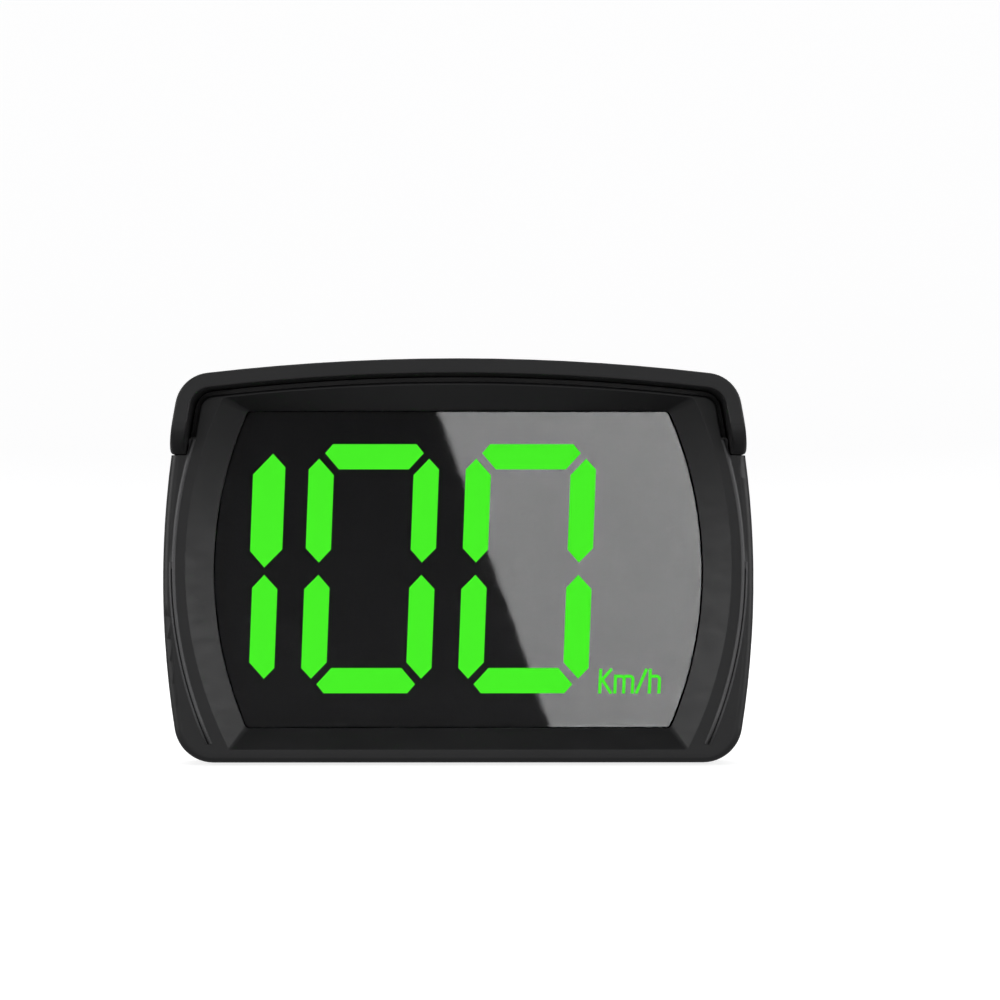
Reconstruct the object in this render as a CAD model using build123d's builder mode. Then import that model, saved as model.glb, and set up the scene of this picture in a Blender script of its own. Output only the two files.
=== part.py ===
from build123d import *
from math import radians, sqrt, tan
import os

# Solar GPS speed display for a dashboard.
#
# Millimetres. X runs to the viewer's right, Z up, and the display faces -Y.
# The origin is the centre of the foot pad's underside, where the sign sits on the dash.
# Outlines are drawn as the viewer sees them, with heights above the bottom edge of the
# case, and each layer is placed by its depth behind the front rim.

# ---- Driving dimensions ----

CASE_WIDTH = 82.4  # across the widest point of the bowed sides
CASE_HEIGHT = 56.0  # bottom edge to the crown of the hood
CASE_DEPTH = 20.0  # front rim to rear face
SIDE_RADIUS = 132.0  # bow of the case sides
SIDE_CENTRE = 25.4  # height where the sides are widest
CROWN_RADIUS = 298.7  # arch of the hood
BOTTOM_CORNER = 5.5
TOP_CORNER = 5.0
WALL = 1.8
SEAM = 0.1  # gap along the joints between mouldings

HOOD_REACH = 8.0  # hood in front of the rim
HOOD_WALL = 2.05
HOOD_GAP = 0.85  # channel between the hood and the rim
HOOD_EDGE_ROUND = 0.3
CHEEK_END = 42.95  # height where the hood's cheeks stop
CHEEK_CURVE_TOP = 47.3  # height where the cheek's front edge starts to sweep back

PARTING_DEPTH = 15.0  # front case meets rear case
EDGE_ROUND = 1.2  # round on the front case's outer edge
REAR_ROUND = 2.5

OPENING_HALF_WIDTH = 34.27  # visible window, at its widest
OPENING_RADIUS = 55.1
OPENING_CENTRE = 26.65
OPENING_BOTTOM = 4.7
OPENING_TOP = 49.1
OPENING_CORNER = 0.8
BEVEL_HALF_WIDTH = 38.1  # front edge of the bevel round the window
BEVEL_RADIUS = 55.5
BEVEL_CENTRE = 27.3
BEVEL_BOTTOM = 1.8
BEVEL_CROWN = 52.7
BEVEL_CORNERS = (0.5, 1.0)  # bottom and top corners of the bevel's front edge
BEVEL_DEPTH = 3.0
RIM_OUTER_ROUND = 0.3  # round on the rim's edge beside the channel
RIM_INNER_ROUND = 0.16  # and on its edge beside the bevel
LIP_BACK = 3.5  # rear of the lip that the window is taped to
TAPE_THICKNESS = 0.2
WINDOW_THICKNESS = 1.5
WINDOW_OVERLAP = 1.2  # window past the opening, all round

# Raised beads between the rim and the shoulder of the case, and the groove between them.
# Each follows an arc, given by its half-width, radius and centre height.
INNER_BEAD = (39.7, 59.4, 26.9)
OUTER_BEAD = (40.12, 60.6, 26.9)
BEAD_GROOVE = (39.96, 60.0, 26.9)
RIM_FLARE = (40.05, 59.75, 26.9)  # outer edge of the rim below the channel
INNER_BEAD_WIDTH = 0.5
OUTER_BEAD_WIDTH = 0.3
GROOVE_WIDTH = 0.2
GROOVE_DEPTH = 0.4
BEAD_BOTTOM = 2.6
BEAD_TOP = 45.0
OUTER_BEAD_TOP = 28.0
GROOVE_TOP = 27.0

BLOCK_FRONT = 5.4  # front of the display block and its light segments
DIFFUSER_THICKNESS = 1.0
BOARD_FRONT = 9.5
BOARD_THICKNESS = 1.2
BOARD_BACK = BOARD_FRONT + BOARD_THICKNESS
LED_HEIGHT = 0.7

DIGIT_BOTTOM = 9.52
DIGIT_HEIGHT = 35.0
DIGIT_WIDTH = 18.3
DIGIT_PITCH = 22.07
DIGIT_CENTRE = -12.42  # middle of the middle digit, at half height
SEGMENT = 3.55  # stroke of a segment
LEAN = tan(radians(2.15))  # the digits lean to the right

HINGE_RADIUS = 1.7
PIN_RADIUS = 0.8
RUNNING_FIT = 0.05
HINGE_DEPTH = 19.1  # hinge axis behind the rim
KNUCKLE_HALF_LENGTH = 18.9
LUG_INNER = 19.4
LUG_OUTER = 23.4
PIN_HALF_LENGTH = 21.0

FOOT_WIDTH = 50.0
FOOT_LENGTH = 24.0  # hinge axis to the free end
FOOT_CORNER = 5.0
FOOT_CLEARANCE = 0.4
PAD_WIDTH = 46.0
PAD_LENGTH = 17.2
PAD_THICKNESS = 1.2
CASE_LIFT = 0.3  # bottom of the case above the dash
RECESS_FLOOR = 17.2
FLOOR_THICKNESS = 1.6  # of the rear wall under the foot's recess

CASE_SCREWS = [(-34.6, 5.6), (34.6, 5.6), (-33.0, 49.4), (33.0, 49.4)]
BOARD_SCREWS = [(-36.4, 16.0), (36.4, 16.0), (-36.4, 38.0), (36.4, 38.0)]
CASE_SCREW_RADIUS = 1.0
CASE_SCREW_HEAD = 1.8  # radius
CASE_SCREW_HOLE = 8.0  # depth of the hole in the front case's boss
BOARD_SCREW_RADIUS = 0.8
BOARD_SCREW_HEAD = 1.4
BOARD_SCREW_HOLE = 4.0
BOSS_RADIUS = 2.3
POST_RADIUS = 1.9

USB_HEIGHT = 26.0  # centre of the charging port, above the bottom edge
USB_WIDTH = 8.94
USB_THICKNESS = 3.26
USB_LENGTH = 7.3
USB_MOUTH = 39.3  # open end, from the middle of the case
USB_DEPTH = BOARD_BACK + USB_THICKNESS / 2

BUTTON_X = 31.5
BUTTON_HEIGHT = 14.0
BUTTON_RADIUS = 2.9
BUTTON_TRAVEL = 0.25
SWITCH_SIZE = 6.0
SWITCH_BACK = 14.2
SWITCH_WELL = 1.0
PLUNGER_RADIUS = 1.7
PLUNGER_BACK = 16.2

BUZZER_X = -31.0
BUZZER_HEIGHT = 14.0

SOLAR_WIDTH = 44.4
SOLAR_LENGTH = 21.2
SOLAR_CENTRE = 39.8
SOLAR_CORNER = 1.0
SOLAR_FLOOR = 18.6
SOLAR_LEADS = [(-17, 32), (-14, 32)]
LEAD_RADIUS = 0.45

# ---- Values that follow from them ----

FOOT_CENTRE_DEPTH = HINGE_DEPTH + 13.1  # middle of the pad, which is the origin
HINGE_HEIGHT = HINGE_RADIUS  # above the bottom edge of the case
HINGE_Y = HINGE_DEPTH - FOOT_CENTRE_DEPTH
HINGE_Z = HINGE_HEIGHT + CASE_LIFT
WINDOW_FRONT = LIP_BACK + TAPE_THICKNESS
WINDOW_BACK = WINDOW_FRONT + WINDOW_THICKNESS
FOOT_TOP = HINGE_Z + HINGE_RADIUS
BLOCK_DEPTH = BOARD_FRONT - BLOCK_FRONT
CASE_SCREW_SEAT = CASE_DEPTH - 1.6


def layer(depth):
    """Plane facing the viewer at a depth behind the rim. Its Y is height above the case."""
    return Plane((0, depth - FOOT_CENTRE_DEPTH, CASE_LIFT), x_dir=(1, 0, 0), z_dir=(0, -1, 0))


def rear_layer(depth):
    """The same plane seen from behind: its X runs to the viewer's left."""
    return Plane((0, depth - FOOT_CENTRE_DEPTH, CASE_LIFT), x_dir=(-1, 0, 0), z_dir=(0, 1, 0))


def side_layer(x):
    """Plane across the case. Its X is depth behind the rim, its Y height above the case."""
    return Plane((x, -FOOT_CENTRE_DEPTH, CASE_LIFT), x_dir=(0, 1, 0), z_dir=(1, 0, 0))


def bowed_x(half_width, radius, centre, height):
    """Half-width of a bowed side at a height."""
    return half_width - radius + sqrt(radius**2 - (height - centre) ** 2)


def arched_panel(half_width, radius, centre, bottom, top, crown_radius=None, corners=(0, 0)):
    """Outline with a flat bottom, two bowed sides and a flat or arched top."""
    corner_z = top
    for _ in range(8):
        corner_x = bowed_x(half_width, radius, centre, corner_z)
        if crown_radius:
            corner_z = top - crown_radius + sqrt(crown_radius**2 - corner_x**2)
    bottom_x = bowed_x(half_width, radius, centre, bottom)
    with BuildSketch() as panel:
        with BuildLine():
            Line((-bottom_x, bottom), (bottom_x, bottom))
            ThreePointArc((bottom_x, bottom), (half_width, centre), (corner_x, corner_z))
            if crown_radius:
                ThreePointArc((corner_x, corner_z), (0, top), (-corner_x, corner_z))
            else:
                Line((corner_x, corner_z), (-corner_x, corner_z))
            ThreePointArc((-corner_x, corner_z), (-half_width, centre), (-bottom_x, bottom))
        make_face()
        bottom_corners = panel.vertices().group_by(Axis.Y)[0]
        if corners[0]:
            fillet(bottom_corners, corners[0])
        if corners[1]:
            fillet(panel.vertices().group_by(Axis.Y)[-1], corners[1])
    return panel.sketch


def case_outline(inset=0.0):
    """The outline of the case, drawn in by an even amount."""
    return arched_panel(
        CASE_WIDTH / 2 - inset,
        SIDE_RADIUS - inset,
        SIDE_CENTRE,
        inset,
        CASE_HEIGHT - inset,
        CROWN_RADIUS - inset,
        (max(BOTTOM_CORNER - inset, 0.6), max(TOP_CORNER - inset, 0.6)),
    )


def opening_outline(grow=0.0):
    """The outline of the visible window, grown by an even amount."""
    return arched_panel(
        OPENING_HALF_WIDTH + grow,
        OPENING_RADIUS + grow,
        OPENING_CENTRE,
        OPENING_BOTTOM - grow,
        OPENING_TOP + grow,
        corners=(OPENING_CORNER + grow, OPENING_CORNER + grow),
    )


def band(bottom, top):
    """A strip across the whole case between two heights."""
    with BuildSketch() as strip:
        with Locations((0, (bottom + top) / 2)):
            Rectangle(2 * CASE_WIDTH, top - bottom)
    return strip.sketch


def rounded_box(x_low, x_high, z_low, z_high, corner=0.0):
    """A rectangle by its limits, with rounded corners if asked."""
    with BuildSketch() as box:
        with Locations(((x_low + x_high) / 2, (z_low + z_high) / 2)):
            Rectangle(x_high - x_low, z_high - z_low)
        if corner:
            fillet(box.vertices(), corner)
    return box.sketch


def polygon(points):
    """A closed outline through points."""
    with BuildSketch() as outline:
        with BuildLine():
            Polyline(*points, close=True)
        make_face()
    return outline.sketch


def leaning(x, height):
    """Lean a point of a digit to the right about the digits' half height."""
    return x + (height - DIGIT_BOTTOM - DIGIT_HEIGHT / 2) * LEAN, height


# ---- Segments of the digits ----

BAR_END = 2.04  # end of the digit to the tip of an upright bar
BAR_MIDDLE_GAP = 0.86  # half height of the digit to the bar's other tip
END_TIP = (1.5, 2.3)  # length of the point at the digit's end, on its outer and inner side
MIDDLE_TIP = (2.0, 1.82)  # the same for the point near the digit's middle
LEVEL_TIP = 1.27  # tip of a level bar, from the digit's outer edge


def between(outer, inner, share):
    """A place part of the way from the outer to the inner side of a bar."""
    return outer + share * (inner - outer)


def upright_bar(centre, side, half, spread=0.0, stretch=0.0):
    """Left or right (side), lower or upper (half) bar of the digit centred at centre."""
    middle = DIGIT_BOTTOM + DIGIT_HEIGHT / 2
    outer_x = centre + side * (DIGIT_WIDTH / 2 + spread)
    inner_x = centre + side * (DIGIT_WIDTH / 2 - SEGMENT - spread)
    tip_scale = 1 + 2 * spread / SEGMENT
    far = middle + half * (DIGIT_HEIGHT / 2 - BAR_END + stretch)
    near = middle + half * (BAR_MIDDLE_GAP - stretch)
    points = [
        (between(outer_x, inner_x, 0.40), far),
        (inner_x, far - half * tip_scale * END_TIP[1]),
        (inner_x, near + half * tip_scale * MIDDLE_TIP[1]),
        (between(outer_x, inner_x, 0.54), near),
        (outer_x, near + half * tip_scale * MIDDLE_TIP[0]),
        (outer_x, far - half * tip_scale * END_TIP[0]),
    ]
    return polygon([leaning(x, z) for x, z in points])


def level_bar(centre, half):
    """Top (1) or bottom (-1) bar of a digit."""
    middle = DIGIT_BOTTOM + DIGIT_HEIGHT / 2
    edge = middle + half * DIGIT_HEIGHT / 2
    long, tip, short = DIGIT_WIDTH * 0.321, DIGIT_WIDTH * 0.379, DIGIT_WIDTH * 0.269
    rows = [(long, edge), (tip, edge - half * LEVEL_TIP), (short, edge - half * SEGMENT)]
    right = [(centre + x, z) for x, z in rows]
    left = [(centre - x, z) for x, z in reversed(rows)]
    return polygon([leaning(x, z) for x, z in right + left])


def middle_bar(centre):
    """Bar across the middle of a digit."""
    middle = DIGIT_BOTTOM + DIGIT_HEIGHT / 2
    tip, end, rise = DIGIT_WIDTH * 0.345, DIGIT_WIDTH * 0.262, SEGMENT / 2
    outline = [(tip, 0), (end, rise), (-end, rise), (-tip, 0), (-end, -rise), (end, -rise)]
    return polygon([leaning(centre + x, middle + z) for x, z in outline])


digit_centres = [DIGIT_CENTRE + step * DIGIT_PITCH for step in (0, 1)]
first_digit = DIGIT_CENTRE - DIGIT_PITCH

lit_bars = [
    upright_bar(first_digit, 1, 1, spread=0.48, stretch=0.7),
    upright_bar(first_digit, 1, -1),
]
for digit in digit_centres:
    lit_bars += [upright_bar(digit, side, half) for side in (-1, 1) for half in (-1, 1)]
    lit_bars += [level_bar(digit, 1), level_bar(digit, -1)]
dark_bars = [middle_bar(digit) for digit in digit_centres]

# ---- Strokes of the unit legend ----

LEGEND_BASE = 9.49
LEGEND_CAP = 12.94
LEGEND_WAIST = 11.9
LEGEND_LEAN = tan(radians(3))
SHOULDER = 0.45  # radius of the shoulder of the small letters
STROKE = 0.42
LEGEND_BOX = (19.0, 28.9, 9.1, 13.4)


def slanted(x, height):
    """Lean a point of the legend to the right about its base."""
    return x + (height - LEGEND_BASE) * LEGEND_LEAN, height


def stroke_glyph(draw):
    """One glyph as a face, from a function that draws its centre lines."""
    with BuildSketch() as glyph:
        with BuildLine() as lines:
            draw()
        trace(lines.edges(), line_width=STROKE)
    return glyph.sketch


def stem(x, top):
    """An upright stroke from the base."""
    Line(slanted(x, LEGEND_BASE), slanted(x, top))


def shoulder(left, right):
    """A level stroke from a stem that turns down on the right."""
    corner = slanted(right, LEGEND_WAIST)
    turn_start = (corner[0] - SHOULDER, LEGEND_WAIST)
    turn_end = slanted(right, LEGEND_WAIST - SHOULDER)
    Line(slanted(left, LEGEND_WAIST), turn_start)
    TangentArc(turn_start, turn_end, tangent=(1, 0))
    Line(turn_end, slanted(right, LEGEND_BASE))


def draw_k():
    stem(19.82, LEGEND_CAP)
    Line((20.1, 11.3), (21.54, LEGEND_CAP))
    Line((20.1, 11.6), (21.45, LEGEND_BASE))


def draw_m():
    stem(21.95, LEGEND_WAIST + STROKE / 2)
    shoulder(21.95, 23.18)
    shoulder(23.18, 24.41)


def draw_slash():
    Line((24.95, LEGEND_BASE), (26.45, LEGEND_CAP))


def draw_h():
    stem(26.8, LEGEND_CAP)
    shoulder(26.8, 28.15)


legend_glyphs = [stroke_glyph(draw) for draw in (draw_k, draw_m, draw_slash, draw_h)]

# ==== Case ====

CAVITY_FRONT = WINDOW_BACK
UPPER_INSET = HOOD_WALL + SEAM  # the front case where it slides inside the hood
UPPER_START = CHEEK_END - 4 * SEAM
UPPER_WALL = 1.5
PORT_CLEARANCE = 0.35
HOOK_THICKNESS = 0.32  # the small hook that closes the channel's lower end
HOOK_DROP = 0.95


def side_arc(side, curve, top):
    """Points on a bowed arc from the foot of the beads to a height, on one side."""
    heights = (BEAD_BOTTOM, (BEAD_BOTTOM + top) / 2, top)
    return [(side * bowed_x(*curve, height), height) for height in heights]


def bead(width):
    """Cross-section of a bead. Its Y is depth, and it sinks a little into the surface."""
    half, flat, rise = width / 2, width / 8, width * 0.375
    return polygon([(-half, SEAM), (-half, 0), (-flat, -rise), (flat, -rise), (half, 0), (half, SEAM)])


with BuildPart() as front_case:
    # Lower body, full width, with its front edge rounded
    with BuildSketch(layer(PARTING_DEPTH)):
        add(case_outline())
        add(band(CHEEK_END - SEAM, 2 * CASE_HEIGHT), mode=Mode.SUBTRACT)
    extrude(amount=PARTING_DEPTH)
    front_edges = front_case.edges().group_by(Axis.Y)[0].sort_by(Axis.Z)[:-1]
    fillet(front_edges, EDGE_ROUND)
    # Upper body inside the hood, with the channel left round its front
    with BuildSketch(layer(PARTING_DEPTH)):
        add(case_outline(UPPER_INSET))
        add(band(-CASE_HEIGHT, UPPER_START), mode=Mode.SUBTRACT)
    extrude(amount=PARTING_DEPTH - BEVEL_DEPTH)
    with BuildSketch(layer(PARTING_DEPTH)):
        add(case_outline(HOOD_WALL + HOOD_GAP))
        add(band(-CASE_HEIGHT, UPPER_START), mode=Mode.SUBTRACT)
    extrude(amount=PARTING_DEPTH)
    rim_edges = front_case.edges(Select.LAST).group_by(Axis.Y)[0]
    fillet(rim_edges.filter_by(lambda edge: edge.center().Z > BEAD_TOP), RIM_OUTER_ROUND)
    # The rim flares out below the channel, to carry the inner bead
    with BuildSketch(layer(BEVEL_DEPTH)):
        add(arched_panel(*RIM_FLARE, BEVEL_BOTTOM, BEAD_TOP))
        add(band(-CASE_HEIGHT, UPPER_START), mode=Mode.SUBTRACT)
    extrude(amount=BEVEL_DEPTH)
    # Bevel down to the window, and the opening behind it
    with BuildSketch(layer(0)):
        add(
            arched_panel(
                BEVEL_HALF_WIDTH,
                BEVEL_RADIUS,
                BEVEL_CENTRE,
                BEVEL_BOTTOM,
                BEVEL_CROWN,
                CROWN_RADIUS,
                BEVEL_CORNERS,
            )
        )
    with BuildSketch(layer(BEVEL_DEPTH)):
        add(opening_outline())
    loft(ruled=True, mode=Mode.SUBTRACT)
    fillet(front_case.edges(Select.LAST).group_by(Axis.Y)[0], RIM_INNER_ROUND)
    with BuildSketch(layer(LIP_BACK)):
        add(opening_outline())
    extrude(amount=LIP_BACK - BEVEL_DEPTH, mode=Mode.SUBTRACT)
    # Seat for the window
    with BuildSketch(layer(CAVITY_FRONT)):
        add(opening_outline(WINDOW_OVERLAP + SEAM))
    extrude(amount=CAVITY_FRONT - LIP_BACK, mode=Mode.SUBTRACT)
    # Hollow behind the front wall
    with BuildSketch(layer(PARTING_DEPTH)):
        add(case_outline(WALL))
        add(band(CHEEK_END - SEAM - WALL, 2 * CASE_HEIGHT), mode=Mode.SUBTRACT)
        add(case_outline(UPPER_INSET + UPPER_WALL))
    extrude(amount=PARTING_DEPTH - CAVITY_FRONT, mode=Mode.SUBTRACT)
    # Bosses for the case screws and posts for the board
    with BuildSketch(layer(PARTING_DEPTH)):
        with Locations(*CASE_SCREWS):
            Circle(BOSS_RADIUS)
    extrude(amount=PARTING_DEPTH - CAVITY_FRONT)
    with BuildSketch(layer(PARTING_DEPTH)):
        with Locations(*CASE_SCREWS):
            Circle(CASE_SCREW_RADIUS)
    extrude(amount=CASE_SCREW_HOLE, mode=Mode.SUBTRACT)
    with BuildSketch(layer(BOARD_FRONT)):
        with Locations(*BOARD_SCREWS):
            Circle(POST_RADIUS)
    extrude(amount=BOARD_FRONT - CAVITY_FRONT)
    with BuildSketch(layer(BOARD_FRONT)):
        with Locations(*BOARD_SCREWS):
            Circle(BOARD_SCREW_RADIUS)
    extrude(amount=BOARD_SCREW_HOLE, mode=Mode.SUBTRACT)
    # Charging port
    with BuildSketch(side_layer(CASE_WIDTH / 2)):
        with Locations((USB_DEPTH, USB_HEIGHT)):
            SlotOverall(USB_WIDTH + 2 * PORT_CLEARANCE, USB_THICKNESS + 2 * PORT_CLEARANCE, rotation=90)
    extrude(amount=-2 * WALL, mode=Mode.SUBTRACT)
    # Beads between the rim and the shoulder, with a groove where the two run side by side
    groove = rounded_box(-GROOVE_WIDTH / 2, GROOVE_WIDTH / 2, -GROOVE_DEPTH, GROOVE_DEPTH)
    strips = [
        (INNER_BEAD, BEAD_TOP, bead(INNER_BEAD_WIDTH), Mode.ADD),
        (OUTER_BEAD, OUTER_BEAD_TOP, bead(OUTER_BEAD_WIDTH), Mode.ADD),
        (BEAD_GROOVE, GROOVE_TOP, groove, Mode.SUBTRACT),
    ]
    for side in (-1, 1):
        for curve, top, section, way in strips:
            with BuildLine(layer(0)) as strip_path:
                ThreePointArc(*side_arc(side, curve, top))
            along = strip_path.line % 0
            across = Vector(0, 1, 0).cross(along)
            with BuildSketch(Plane(strip_path.line @ 0, x_dir=across, z_dir=along)):
                add(section)
            sweep(path=strip_path.line, mode=way)
    # A small hook closes the channel's lower end on each side
    hook_out = bowed_x(CASE_WIDTH / 2 - HOOD_WALL - SEAM, SIDE_RADIUS, SIDE_CENTRE, BEAD_TOP)
    hook_in = bowed_x(CASE_WIDTH / 2 - HOOD_WALL - HOOD_GAP, SIDE_RADIUS, SIDE_CENTRE, BEAD_TOP)
    hook_out -= HOOK_THICKNESS / 2
    with BuildSketch(layer(BEVEL_DEPTH)):
        for side in (-1, 1):
            with BuildLine() as hook:
                FilletPolyline(
                    (side * (hook_in - HOOK_THICKNESS), BEAD_TOP + HOOK_THICKNESS / 2),
                    (side * hook_out, BEAD_TOP + HOOK_THICKNESS / 2),
                    (side * hook_out, BEAD_TOP - HOOK_DROP),
                    radius=HOOK_THICKNESS,
                )
            trace(hook.edges(), line_width=HOOK_THICKNESS)
    extrude(amount=BEVEL_DEPTH)

BLOCK_MARGIN = 2.0  # thick floor past the recess and the solar pocket
BLOCK_HALF = FOOT_WIDTH / 2 + BLOCK_MARGIN
RECESS_HALF = FOOT_WIDTH / 2 + FOOT_CLEARANCE
RECESS_TOP = HINGE_HEIGHT + FOOT_LENGTH + FOOT_CLEARANCE
REAR_START = PARTING_DEPTH + SEAM
REAR_WALL_FRONT = CASE_DEPTH - WALL
BUTTON_GAP = 0.1
COUNTERBORE_RADIUS = 2.1
POCKET_CLEARANCE = 0.2
LEAD_HOLE_RADIUS = 0.7
SOUND_SLOT = (6.0, 1.0)  # length and width
SOUND_PITCH = 2.2
PAST = 1.0  # how far cuts run past the surface they open
LUG_ROOT = 0.3  # how far the lugs sink into the recess's floor
PIN_END_GAP = 0.3

with BuildPart() as rear_case:
    # Rear shell with its outer edge rounded
    with BuildSketch(layer(CASE_DEPTH)):
        add(case_outline())
    extrude(amount=CASE_DEPTH - REAR_START)
    fillet(rear_case.edges().group_by(Axis.Y)[-1], REAR_ROUND)
    # Hood and cheeks, forward over the front case
    with BuildSketch(layer(REAR_START + SEAM)):
        add(case_outline())
        add(case_outline(HOOD_WALL), mode=Mode.SUBTRACT)
        add(band(-CASE_HEIGHT, CHEEK_END), mode=Mode.SUBTRACT)
    extrude(amount=REAR_START + SEAM + HOOD_REACH)
    # Front edge of each cheek, swept back in a quarter ellipse
    with BuildSketch(side_layer(0)):
        with BuildLine():
            EllipticalCenterArc(
                (SEAM, CHEEK_CURVE_TOP),
                HOOD_REACH + SEAM,
                CHEEK_CURVE_TOP - CHEEK_END,
                start_angle=180,
                arc_size=90,
            )
            Polyline(
                (SEAM, CHEEK_END),
                (SEAM, CHEEK_END - PAST),
                (-HOOD_REACH - PAST, CHEEK_END - PAST),
                (-HOOD_REACH - PAST, CHEEK_CURVE_TOP),
                (-HOOD_REACH, CHEEK_CURVE_TOP),
            )
        make_face()
    extrude(amount=CASE_WIDTH, both=True, mode=Mode.SUBTRACT)
    fillet(rear_case.edges().group_by(Axis.Y)[0], HOOD_EDGE_ROUND)
    # Hollow in three steps, leaving thick floors under the foot's recess and the solar panel
    solar_half = SOLAR_WIDTH / 2 + BLOCK_MARGIN
    solar_top = SOLAR_CENTRE + SOLAR_LENGTH / 2 + BLOCK_MARGIN
    foot_floor = rounded_box(-BLOCK_HALF, BLOCK_HALF, -PAST, RECESS_TOP + FLOOR_THICKNESS)
    solar_floor = rounded_box(-solar_half, solar_half, RECESS_TOP, solar_top)
    with BuildSketch(layer(RECESS_FLOOR - FLOOR_THICKNESS)):
        add(case_outline(WALL))
    extrude(amount=RECESS_FLOOR - FLOOR_THICKNESS - REAR_START, mode=Mode.SUBTRACT)
    with BuildSketch(layer(RECESS_FLOOR)):
        add(case_outline(WALL))
        add(foot_floor, mode=Mode.SUBTRACT)
    extrude(amount=FLOOR_THICKNESS, mode=Mode.SUBTRACT)
    with BuildSketch(layer(REAR_WALL_FRONT)):
        add(case_outline(WALL))
        add(foot_floor, mode=Mode.SUBTRACT)
        add(solar_floor, mode=Mode.SUBTRACT)
    extrude(amount=REAR_WALL_FRONT - RECESS_FLOOR, mode=Mode.SUBTRACT)
    # Recess for the folded foot, open at the bottom
    with BuildSketch(layer(CASE_DEPTH)):
        recess_corner = FOOT_CORNER + FOOT_CLEARANCE
        add(rounded_box(-RECESS_HALF, RECESS_HALF, -2 * recess_corner, RECESS_TOP, recess_corner))
    extrude(amount=CASE_DEPTH - RECESS_FLOOR, mode=Mode.SUBTRACT)
    # Pocket for the solar panel and two holes for its leads
    with BuildSketch(layer(CASE_DEPTH)):
        with Locations((0, SOLAR_CENTRE)):
            RectangleRounded(
                SOLAR_WIDTH + 2 * POCKET_CLEARANCE,
                SOLAR_LENGTH + 2 * POCKET_CLEARANCE,
                SOLAR_CORNER + POCKET_CLEARANCE,
            )
    extrude(amount=CASE_DEPTH - SOLAR_FLOOR, mode=Mode.SUBTRACT)
    with BuildSketch(layer(SOLAR_FLOOR)):
        with Locations(*SOLAR_LEADS):
            Circle(LEAD_HOLE_RADIUS)
    extrude(amount=SOLAR_FLOOR - RECESS_FLOOR + PAST, mode=Mode.SUBTRACT)
    # Bosses and screw holes
    with BuildSketch(layer(REAR_WALL_FRONT + SEAM)):
        with Locations(*CASE_SCREWS):
            Circle(BOSS_RADIUS)
    extrude(amount=REAR_WALL_FRONT + SEAM - REAR_START)
    with Locations(rear_layer(CASE_DEPTH)):
        with Locations(*CASE_SCREWS):
            CounterBoreHole(
                CASE_SCREW_RADIUS + SEAM,
                COUNTERBORE_RADIUS,
                CASE_DEPTH - CASE_SCREW_SEAT,
                CASE_DEPTH - PARTING_DEPTH + PAST,
            )
    # Button hole and sound slots
    with BuildSketch(layer(CASE_DEPTH)):
        with Locations((BUTTON_X, BUTTON_HEIGHT)):
            Circle(BUTTON_RADIUS + BUTTON_GAP)
        with Locations((BUZZER_X, BUZZER_HEIGHT)):
            with GridLocations(0, SOUND_PITCH, 1, 3):
                SlotOverall(*SOUND_SLOT)
    extrude(amount=WALL + PAST, mode=Mode.SUBTRACT)
    # Hinge lugs, with blind holes for the ends of the pin
    for side in (-1, 1):
        with BuildSketch(side_layer(min(side * LUG_INNER, side * LUG_OUTER))):
            with Locations((HINGE_DEPTH, HINGE_HEIGHT)):
                Circle(HINGE_RADIUS)
                Rectangle(
                    HINGE_DEPTH - RECESS_FLOOR + LUG_ROOT,
                    2 * HINGE_RADIUS,
                    align=(Align.MAX, Align.CENTER),
                )
        extrude(amount=LUG_OUTER - LUG_INNER)
    with BuildSketch(side_layer(0)):
        with Locations((HINGE_DEPTH, HINGE_HEIGHT)):
            Circle(PIN_RADIUS + RUNNING_FIT)
    extrude(amount=PIN_HALF_LENGTH + PIN_END_GAP, both=True, mode=Mode.SUBTRACT)

CASE_SCREW_LENGTH = 10.0
CASE_HEAD_HEIGHT = 1.2
CROSS_LENGTH, CROSS_WIDTH, CROSS_DEPTH = 2.0, 0.45, 0.7  # the driver's cross in the head

with BuildPart() as case_screws:
    with BuildSketch(layer(CASE_SCREW_SEAT)):
        with Locations(*CASE_SCREWS):
            Circle(CASE_SCREW_RADIUS)
    extrude(amount=CASE_SCREW_LENGTH)
    with BuildSketch(layer(CASE_SCREW_SEAT + CASE_HEAD_HEIGHT)):
        with Locations(*CASE_SCREWS):
            Circle(CASE_SCREW_HEAD)
    extrude(amount=CASE_HEAD_HEIGHT)
    fillet(case_screws.edges().group_by(Axis.Y)[-1], CASE_HEAD_HEIGHT / 3)
    with BuildSketch(layer(CASE_SCREW_SEAT + CASE_HEAD_HEIGHT)):
        with Locations(*CASE_SCREWS):
            Rectangle(CROSS_LENGTH, CROSS_WIDTH)
            Rectangle(CROSS_WIDTH, CROSS_LENGTH)
    extrude(amount=CROSS_DEPTH, mode=Mode.SUBTRACT)

# ==== Display ====

with BuildPart() as window_tape:
    with BuildSketch(layer(WINDOW_FRONT)):
        add(opening_outline(WINDOW_OVERLAP - SEAM))
        add(opening_outline(SEAM), mode=Mode.SUBTRACT)
    extrude(amount=TAPE_THICKNESS)

with BuildPart() as window:
    with BuildSketch(layer(WINDOW_BACK)):
        add(opening_outline(WINDOW_OVERLAP))
    extrude(amount=WINDOW_THICKNESS)

BLOCK_OVERLAP = 0.8  # display block past the opening, all round

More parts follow.
